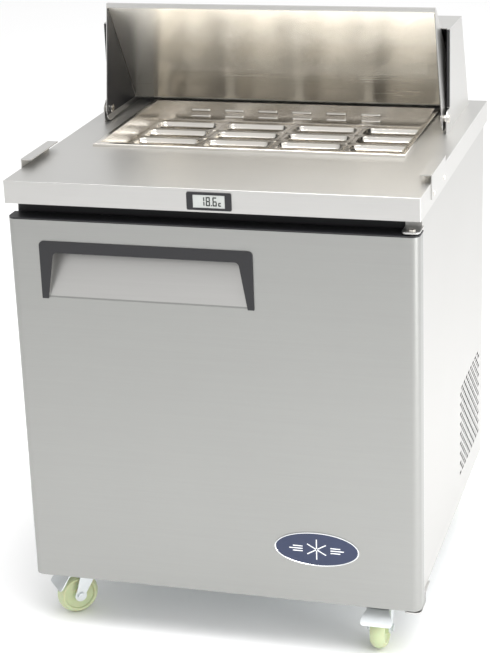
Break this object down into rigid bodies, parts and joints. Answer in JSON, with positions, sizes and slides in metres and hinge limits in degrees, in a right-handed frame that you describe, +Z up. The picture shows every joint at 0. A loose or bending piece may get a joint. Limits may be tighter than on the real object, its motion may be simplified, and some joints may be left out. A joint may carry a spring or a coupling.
{
  "type": "sandwich prep table",
  "caption": "Refrigerated sandwich prep table on casters: hinged door cabinet, worktop with a well of lift-out food pans, fixed rear hood and flip lid.",
  "frame": {"origin": "centre of the footprint on the floor", "axes": "+Z up, -Y towards the operator at the door side, +X to the operator's right"},
  "size_m": [0.79, 0.752, 1.161],
  "materials": {
    "stainless": "brushed stainless steel, satin",
    "stainless_bright": "bright rolled stainless steel",
    "galvanised": "zinc-plated steel, satin",
    "liner_aluminium": "stucco aluminium",
    "coil_aluminium": "thin fins, dull",
    "black_plastic": "moulded black plastic, satin",
    "black_rubber": "soft extruded gasket",
    "display": "grey liquid crystal window",
    "badge": "domed navy enamel look",
    "foam": "rigid closed-cell foam",
    "black_paint": "satin black enamel",
    "white_coating": "epoxy coated wire",
    "clip_plastic": "moulded light grey plastic",
    "nylon": "moulded cream nylon"
  },
  "bodies": {
    "cabinet": {"worktop": "stainless", "right_side_panel": "stainless", "left_side_panel": "stainless", "rear_hood": "stainless", "door_hinge_brackets": "stainless", "board_brackets": "stainless", "well_liner": "stainless_bright", "bracket_screws": "stainless_bright", "hinge_pins": "stainless_bright", "back_panel": "galvanised", "base_panel": "galvanised", "caster_plates": "galvanised", "cabinet_liner": "liner_aluminium", "condenser_coil": "coil_aluminium", "evaporator_coil": "coil_aluminium", "front_frame": "black_plastic", "thermometer_bezel": "black_plastic", "power_inlet": "black_plastic", "hood_gasket": "black_rubber", "thermometer_display": "display", "cabinet_insulation": "foam", "compressor": "black_paint", "fan_motors": "black_paint", "shelf_clips": "clip_plastic", "control_box": "clip_plastic"},
    "door": {"door_skin": "stainless", "door_caps": "black_plastic", "door_liner": "liner_aluminium", "door_foam": "foam", "door_gasket": "black_rubber", "handle_pocket": "stainless", "handle_trim": "black_plastic", "name_badge": "badge"},
    "lid": {"lid_shell": "stainless", "lid_inner_panel": "stainless_bright"},
    "shelf": {"wire_shelf": "white_coating"},
    "condenser_fan": {"condenser_fan": "black_plastic"},
    "evaporator_fan": {"evaporator_fan": "black_plastic"},
    "pan_1_1": {"pan_row1_column1": "stainless_bright"},
    "pan_1_2": {"pan_row1_column2": "stainless_bright"},
    "pan_1_3": {"pan_row1_column3": "stainless_bright"},
    "pan_1_4": {"pan_row1_column4": "stainless_bright"},
    "pan_2_1": {"pan_row2_column1": "stainless_bright"},
    "pan_2_2": {"pan_row2_column2": "stainless_bright"},
    "pan_2_3": {"pan_row2_column3": "stainless_bright"},
    "pan_2_4": {"pan_row2_column4": "stainless_bright"},
    "pan_3_1": {"pan_row3_column1": "stainless_bright"},
    "pan_3_2": {"pan_row3_column2": "stainless_bright"},
    "pan_3_3": {"pan_row3_column3": "stainless_bright"},
    "pan_3_4": {"pan_row3_column4": "stainless_bright"},
    "caster_front_left": {"caster_fork_front_left": "galvanised"},
    "wheel_front_left": {"caster_wheel_front_left": "nylon"},
    "caster_front_right": {"caster_fork_front_right": "galvanised"},
    "wheel_front_right": {"caster_wheel_front_right": "nylon"},
    "caster_rear_left": {"caster_fork_rear_left": "galvanised"},
    "wheel_rear_left": {"caster_wheel_rear_left": "nylon"},
    "caster_rear_right": {"caster_fork_rear_right": "galvanised"},
    "wheel_rear_right": {"caster_wheel_rear_right": "nylon"},
    "pedal_front_left": {"brake_pedal_front_left": "galvanised"},
    "pedal_front_right": {"brake_pedal_front_right": "galvanised"}
  },
  "joints": [
    {"name": "door_hinge", "type": "hinge", "parent": "cabinet", "child": "door", "pos_m": [0.372, -0.359, 0.47], "axis": [0, 0, 1], "range_deg": [0, 105]},
    {"name": "lid_hinge", "type": "hinge", "parent": "cabinet", "child": "lid", "pos_m": [0, 0.103, 0.94], "axis": [1, 0, 0], "range_deg": [0, 90]},
    {"name": "shelf_lift", "type": "slide", "parent": "cabinet", "child": "shelf", "axis": [0, 0, 1], "range_m": [0, 0.02]},
    {"name": "condenser_fan_spin", "type": "hinge", "parent": "cabinet", "child": "condenser_fan", "pos_m": [0.3125, 0.211, 0.276], "axis": [1, 0, 0], "continuous": true},
    {"name": "evaporator_fan_spin", "type": "hinge", "parent": "cabinet", "child": "evaporator_fan", "pos_m": [-0.06, 0.254, 0.65], "axis": [0, 1, 0], "continuous": true},
    {"name": "pan_1_1_lift", "type": "slide", "parent": "cabinet", "child": "pan_1_1", "axis": [0, 0, 1], "range_m": [0, 0.035]},
    {"name": "pan_1_2_lift", "type": "slide", "parent": "cabinet", "child": "pan_1_2", "axis": [0, 0, 1], "range_m": [0, 0.035]},
    {"name": "pan_1_3_lift", "type": "slide", "parent": "cabinet", "child": "pan_1_3", "axis": [0, 0, 1], "range_m": [0, 0.035]},
    {"name": "pan_1_4_lift", "type": "slide", "parent": "cabinet", "child": "pan_1_4", "axis": [0, 0, 1], "range_m": [0, 0.035]},
    {"name": "pan_2_1_lift", "type": "slide", "parent": "cabinet", "child": "pan_2_1", "axis": [0, 0, 1], "range_m": [0, 0.1]},
    {"name": "pan_2_2_lift", "type": "slide", "parent": "cabinet", "child": "pan_2_2", "axis": [0, 0, 1], "range_m": [0, 0.1]},
    {"name": "pan_2_3_lift", "type": "slide", "parent": "cabinet", "child": "pan_2_3", "axis": [0, 0, 1], "range_m": [0, 0.1]},
    {"name": "pan_2_4_lift", "type": "slide", "parent": "cabinet", "child": "pan_2_4", "axis": [0, 0, 1], "range_m": [0, 0.1]},
    {"name": "pan_3_1_lift", "type": "slide", "parent": "cabinet", "child": "pan_3_1", "axis": [0, 0, 1], "range_m": [0, 0.1]},
    {"name": "pan_3_2_lift", "type": "slide", "parent": "cabinet", "child": "pan_3_2", "axis": [0, 0, 1], "range_m": [0, 0.1]},
    {"name": "pan_3_3_lift", "type": "slide", "parent": "cabinet", "child": "pan_3_3", "axis": [0, 0, 1], "range_m": [0, 0.1]},
    {"name": "pan_3_4_lift", "type": "slide", "parent": "cabinet", "child": "pan_3_4", "axis": [0, 0, 1], "range_m": [0, 0.1]},
    {"name": "caster_front_left_swivel", "type": "hinge", "parent": "cabinet", "child": "caster_front_left", "pos_m": [-0.301, -0.294, 0.124], "axis": [0, 0, 1], "continuous": true},
    {"name": "wheel_front_left_roll", "type": "hinge", "parent": "caster_front_left", "child": "wheel_front_left", "pos_m": [-0.32551, -0.31457, 0.042], "axis": [0.6428, -0.766, 0], "continuous": true},
    {"name": "caster_front_right_swivel", "type": "hinge", "parent": "cabinet", "child": "caster_front_right", "pos_m": [0.301, -0.294, 0.124], "axis": [0, 0, 1], "continuous": true},
    {"name": "wheel_front_right_roll", "type": "hinge", "parent": "caster_front_right", "child": "wheel_front_right", "pos_m": [0.301, -0.326, 0.042], "axis": [1, 0, 0], "continuous": true},
    {"name": "caster_rear_left_swivel", "type": "hinge", "parent": "cabinet", "child": "caster_rear_left", "pos_m": [-0.301, 0.294, 0.124], "axis": [0, 0, 1], "continuous": true},
    {"name": "wheel_rear_left_roll", "type": "hinge", "parent": "caster_rear_left", "child": "wheel_rear_left", "pos_m": [-0.28265, 0.32021, 0.042], "axis": [-0.8192, 0.5736, 0], "continuous": true},
    {"name": "caster_rear_right_swivel", "type": "hinge", "parent": "cabinet", "child": "caster_rear_right", "pos_m": [0.301, 0.294, 0.124], "axis": [0, 0, 1], "continuous": true},
    {"name": "wheel_rear_right_roll", "type": "hinge", "parent": "caster_rear_right", "child": "wheel_rear_right", "pos_m": [0.28748, 0.323, 0.042], "axis": [-0.9063, -0.4226, 0], "continuous": true},
    {"name": "pedal_front_left_press", "type": "hinge", "parent": "caster_front_left", "child": "pedal_front_left", "pos_m": [-0.32092, -0.31071, 0.096], "axis": [0.6428, -0.766, 0], "range_deg": [0, 8]},
    {"name": "pedal_front_right_press", "type": "hinge", "parent": "caster_front_right", "child": "pedal_front_right", "pos_m": [0.301, -0.32, 0.096], "axis": [1, 0, 0], "range_deg": [0, 8]}
  ]
}
